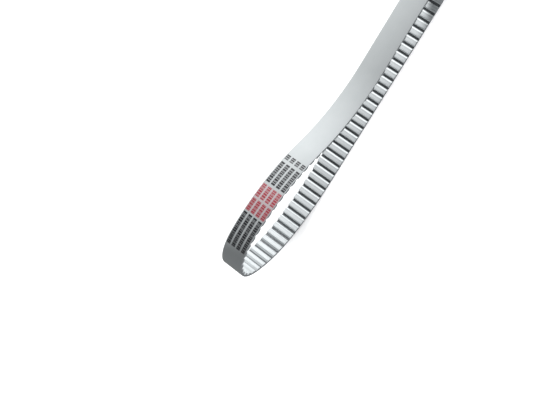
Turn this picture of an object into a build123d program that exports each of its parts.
"""Endless timing belt: cast polyurethane with trapezoidal teeth inside, steel cord and printed marks.

The belt lies on its smooth back. Its lower run is straight and flat, its far end is a half circle
over a small radius, and its near end is a wide, drooping bend. Millimetres, +Z up, +X along the
lower run towards the far end, Y across the belt. The origin is on the floor under the middle of
the loop.
"""
from build123d import *
import math
import os

os.makedirs("parts", exist_ok=True)

# ---- tooth form -------------------------------------------------------------------------------
tooth_pitch = 10.0
tooth_count = 84
tooth_height = 2.5
tooth_tip_width = 5.0
flank_angle = 25.0            # each flank leans this far from the tooth's middle plane
tooth_tip_radius = 0.4
tooth_root_radius = 0.4
first_tooth = 3.8             # first tooth's middle, from the start of the lower run
tooth_sink = 0.4              # how far a tooth's foot reaches into the band it grows from

# ---- belt section -----------------------------------------------------------------------------
belt_width = 25.0
cord_to_back = 1.0            # cord line to the smooth back
cord_to_land = 1.0            # cord line to the flat between two teeth
nose_slot_width = 1.0         # slot between teeth, left by the ridge that carries the cord
cord_cover = 0.1              # material between that slot and the cord

# ---- tension cord -----------------------------------------------------------------------------
cord_diameter = 0.9
cord_turns = 12
cord_edge_margin = 1.5        # outermost turn's middle to the belt's edge
cord_bond = 0.02              # gap round the cord, where the casting grips it

# ---- the shape it lies in: radius of the cord line, and turn in degrees ------------------------
neck_radius, neck_turn = 140.0, 44.0
shoulder_radius, shoulder_turn = 140.0, 47.0
nose_radius, nose_turn = 50.0, 106.0
belly_radius, belly_turn = 82.0, 51.0
lead_radius = 190.0

# ---- printed marks on the back ----------------------------------------------------------------
ink_thickness = 0.08
ink_row_count = 4
ink_row_gap = 1.9             # bare strip between two rows
print_end = 217.5             # near end of the print, back along the belt from the lower run
black_marks = [(0.0, 38.5), (74.5, 26.0), (103.5, 6.5)]      # start and length, from print_end
red_marks = [(40.0, 14.5), (56.5, 15.5)]

# ---- worked out from the sizes above ----------------------------------------------------------
belt_length = tooth_pitch * tooth_count
cord_height = cord_to_back
slot_depth = cord_to_land - cord_diameter / 2 - cord_cover
lead_turn = 180 + neck_turn - shoulder_turn - nose_turn - belly_turn
near_end = [
    (neck_radius, -neck_turn),
    (shoulder_radius, shoulder_turn),
    (nose_radius, nose_turn),
    (belly_radius, belly_turn),
    (lead_radius, lead_turn),
]


def arc_step(radius, turn, heading):
    """Move in x and z, and length, of an arc that leaves at heading; a negative turn bends back."""
    side = math.copysign(radius, turn)
    start, end = math.radians(heading), math.radians(heading + turn)
    step_x = side * (math.sin(end) - math.sin(start))
    step_z = side * (math.cos(start) - math.cos(end))
    return step_x, step_z, radius * math.radians(abs(turn))


# The near end starts at the top, heading back along -X, and finishes on the floor, heading +X.
heading, near_x, near_z, near_length = 180.0, 0.0, 0.0, 0.0
for radius, turn in near_end:
    step_x, step_z, length = arc_step(radius, turn, heading)
    near_x, near_z, near_length = near_x + step_x, near_z + step_z, near_length + length
    heading += turn

# The far half circle makes up the height, and the two straight runs make up the length.
far_radius = -near_z / 2
straight_length = belt_length - near_length - math.pi * far_radius
lower_run = (straight_length - near_x) / 2
upper_run = (straight_length + near_x) / 2
print(f"far radius {far_radius:.2f}, lower run {lower_run:.2f}, upper run {upper_run:.2f}")

# (straight length, 0) or (radius, turn), in order from the start of the lower run
route = [(lower_run, 0), (far_radius, 180), (upper_run, 0)] + near_end
start_x = 0.0                 # set below, once the loop's width is known


def stretch_length(size, turn):
    """Length of one stretch of the route along the cord line."""
    return size if turn == 0 else size * math.radians(abs(turn))


def place(distance, inset=0.0):
    """Point and heading at a distance along the belt, inset mm inside the cord line."""
    x, z, heading = start_x, cord_height, 0.0
    for size, turn in route:
        length = stretch_length(size, turn)
        share = min(distance / length, 1.0)
        if turn == 0:
            step_x = size * share * math.cos(math.radians(heading))
            step_z = size * share * math.sin(math.radians(heading))
        else:
            step_x, step_z, _ = arc_step(size, turn * share, heading)
        x, z, heading = x + step_x, z + step_z, heading + turn * share
        distance -= length * share
        if share < 1.0:
            break
    lean = math.radians(heading)
    return x - inset * math.sin(lean), z + inset * math.cos(lean), heading


def draw_stretch(inset, first, last):
    """Draw the belt's side line from first to last, inset mm inside the cord line; return its ends."""
    reached = 0.0
    for size, turn in route:
        length = stretch_length(size, turn)
        start, end = max(first, reached), min(last, reached + length)
        reached += length
        if end <= start:
            continue
        x, z, heading = place(start, inset)
        if turn == 0:
            Line((x, z), place(end, inset)[:2])
        else:
            direction = (math.cos(math.radians(heading)), math.sin(math.radians(heading)))
            radius = size - inset if turn > 0 else size + inset
            JernArc((x, z), direction, radius, turn * (end - start) / length)
    return place(first, inset)[:2], place(last, inset)[:2]


with BuildLine() as back_line:
    draw_stretch(-cord_to_back, 0, belt_length)
start_x = -back_line.line.bounding_box().center().X


def belt_places(first, inset):
    """One location for each tooth pitch round the belt, starting at first."""
    for index in range(tooth_count):
        x, z, heading = place((first + index * tooth_pitch) % belt_length, inset)
        yield Location((x, z), heading)


# ---- tension cord: steel, wound side by side round the belt, one turn to a part ---------------
turn_spacing = (belt_width - 2 * cord_edge_margin) / (cord_turns - 1)


def cord_loop(diameter, y):
    """A closed round loop along the cord line, at y across the belt."""
    with BuildPart() as loop:
        with BuildLine(Plane.XZ.offset(-y)) as path:
            draw_stretch(0, 0, belt_length)
        with BuildSketch(Plane(path.line @ 0, x_dir=(0, 1, 0), z_dir=path.line % 0)):
            Circle(diameter / 2)
        sweep(path=path.line)
    return loop


tunnels = []
for index in range(cord_turns):
    y = cord_edge_margin - belt_width / 2 + index * turn_spacing
    tunnels.append(cord_loop(cord_diameter + 2 * cord_bond, y))
    cord_turn = cord_loop(cord_diameter, y)
    cord_turn.part.label = f"cord_turn_{index + 1:02d}"
    export_step(cord_turn.part, f"parts/{cord_turn.part.label}.step")

# ---- belt body: the back, the teeth and the tunnels that the cord fills, one casting ------------
base_half = tooth_tip_width / 2 + tooth_height * math.tan(math.radians(flank_angle))
foot_half = base_half + tooth_root_radius

with BuildSketch() as tooth:
    with BuildLine():
        Polyline(
            (-foot_half, -tooth_sink),
            (foot_half, -tooth_sink),
            (foot_half, 0),
            (base_half, 0),
            (tooth_tip_width / 2, tooth_height),
            (-tooth_tip_width / 2, tooth_height),
            (-base_half, 0),
            (-foot_half, 0),
            close=True,
        )
    make_face()
    fillet(tooth.vertices().group_by(Axis.Y)[-1], tooth_tip_radius)
    fillet(tooth.vertices().group_by(Axis.Y)[1].sort_by(Axis.X)[1:-1], tooth_root_radius)

with BuildPart() as belt_body:
    with BuildSketch(Plane.XZ.offset(-belt_width / 2)):
        with BuildLine():
            draw_stretch(-cord_to_back, 0, belt_length)
        make_face()
        with BuildLine():
            draw_stretch(cord_to_land, 0, belt_length)
        make_face(mode=Mode.SUBTRACT)
        with Locations(*belt_places(first_tooth, cord_to_land)):
            add(tooth.sketch)
        with Locations(*belt_places(first_tooth + tooth_pitch / 2, cord_to_land)):
            Rectangle(nose_slot_width, 2 * slot_depth, mode=Mode.SUBTRACT)
    extrude(amount=belt_width)
    add([tunnel.part for tunnel in tunnels], mode=Mode.SUBTRACT)
belt_body.part.label = "belt_body"
export_step(belt_body.part, "parts/belt_body.step")

# ---- printed marks: plain bars of ink on the back, the same row four times across ----------------
ink_row_pitch = belt_width / ink_row_count
for row in range(ink_row_count):
    row_top = belt_width / 2 - ink_row_gap / 2 - row * ink_row_pitch
    for colour, marks in (("black", black_marks), ("red", red_marks)):
        with BuildPart() as ink:
            with BuildSketch(Plane.XZ.offset(-row_top)):
                for start, length in marks:
                    last = belt_length - print_end - start
                    with BuildLine():
                        under = draw_stretch(-cord_to_back, last - length, last)
                        over = draw_stretch(-cord_to_back - ink_thickness, last - length, last)
                        Line(under[0], over[0])
                        Line(under[1], over[1])
                    make_face()
            extrude(amount=ink_row_pitch - ink_row_gap)
        ink.part.label = f"{colour}_print_row_{row + 1}"
        export_step(ink.part, f"parts/{ink.part.label}.step")
